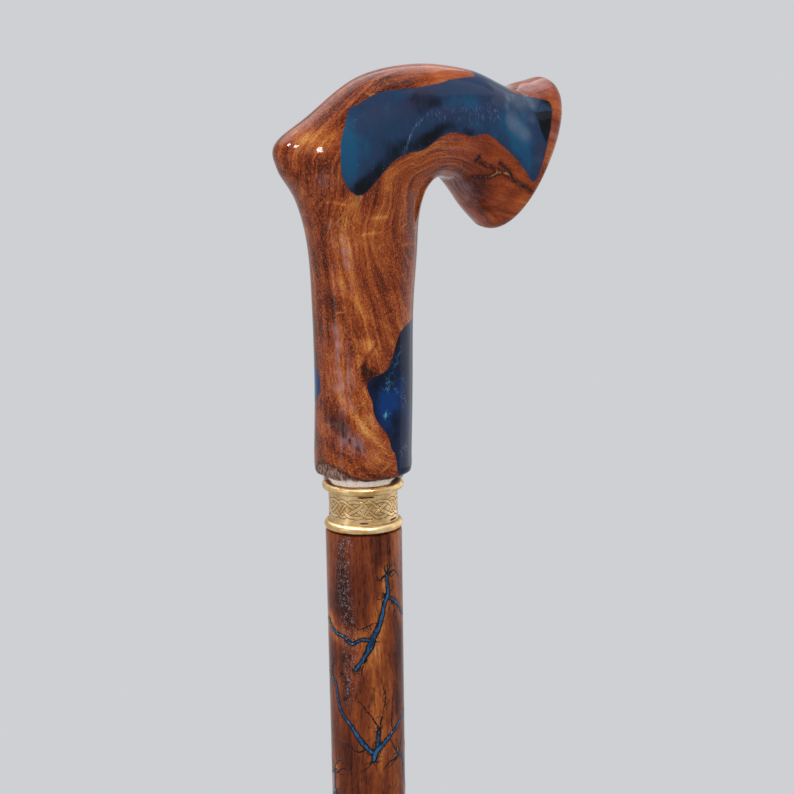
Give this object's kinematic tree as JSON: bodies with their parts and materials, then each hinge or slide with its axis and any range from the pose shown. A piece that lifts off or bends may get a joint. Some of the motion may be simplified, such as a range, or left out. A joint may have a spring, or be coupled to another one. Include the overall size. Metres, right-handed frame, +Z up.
{
  "type": "walking stick",
  "caption": "Walking stick with a derby handle of burl wood and blue resin, engraved brass collar, tapered shaft with resin-filled burnt veins, and a rubber tip.",
  "frame": {"origin": "centre of the rubber tip's ground face, on the shaft's axis", "axes": "+Z up along the shaft, +X forward, the way the handle's nose points"},
  "size_m": [0.1057, 0.038, 0.9165],
  "materials": {
    "burl_wood": "red-brown burl under a clear gloss coat",
    "handle_resin": "blue mica casting resin, polished",
    "crack_fill": "gold-brown filler under the clear coat",
    "steel": "plain steel",
    "collar_brass": "antiqued, dark in the engraving",
    "insert_brass": "machined",
    "shaft_wood": "dark red-brown under a clear gloss coat",
    "vein_resin": "blue resin between charred edges",
    "tip_rubber": "matt black"
  },
  "bodies": {
    "shaft_body": {"shaft": "shaft_wood", "threaded_insert": "insert_brass", "vein_inlay_1": "vein_resin", "vein_inlay_2": "vein_resin", "vein_inlay_3": "vein_resin", "vein_inlay_4": "vein_resin", "vein_inlay_5": "vein_resin", "vein_inlay_6": "vein_resin", "vein_inlay_7": "vein_resin", "vein_inlay_8": "vein_resin", "vein_inlay_9": "vein_resin"},
    "collar_body": {"brass_collar": "collar_brass"},
    "handle_body": {"handle_wood": "burl_wood", "handle_resin_saddle": "handle_resin", "handle_resin_neck": "handle_resin", "handle_resin_rear": "handle_resin", "lobe_crack_fill": "crack_fill", "joint_stud": "steel"},
    "tip_body": {"rubber_tip": "tip_rubber", "tip_washer": "steel"}
  },
  "joints": [
    {"name": "handle_turn", "type": "hinge", "parent": "shaft_body", "child": "collar_body", "pos_m": [0, 0, 0.7637], "axis": [0, 0, 1], "range_deg": [0, 5760]},
    {"name": "handle_lift", "type": "slide", "parent": "collar_body", "child": "handle_body", "axis": [0, 0, 1], "range_m": [0, 0.024]},
    {"name": "tip_pull", "type": "slide", "parent": "shaft_body", "child": "tip_body", "axis": [0, 0, -1], "range_m": [0, 0.042]}
  ],
  "couplings": [
    {"joint": "handle_lift", "follows": "handle_turn", "m_per_rad": 0.00023873}
  ]
}
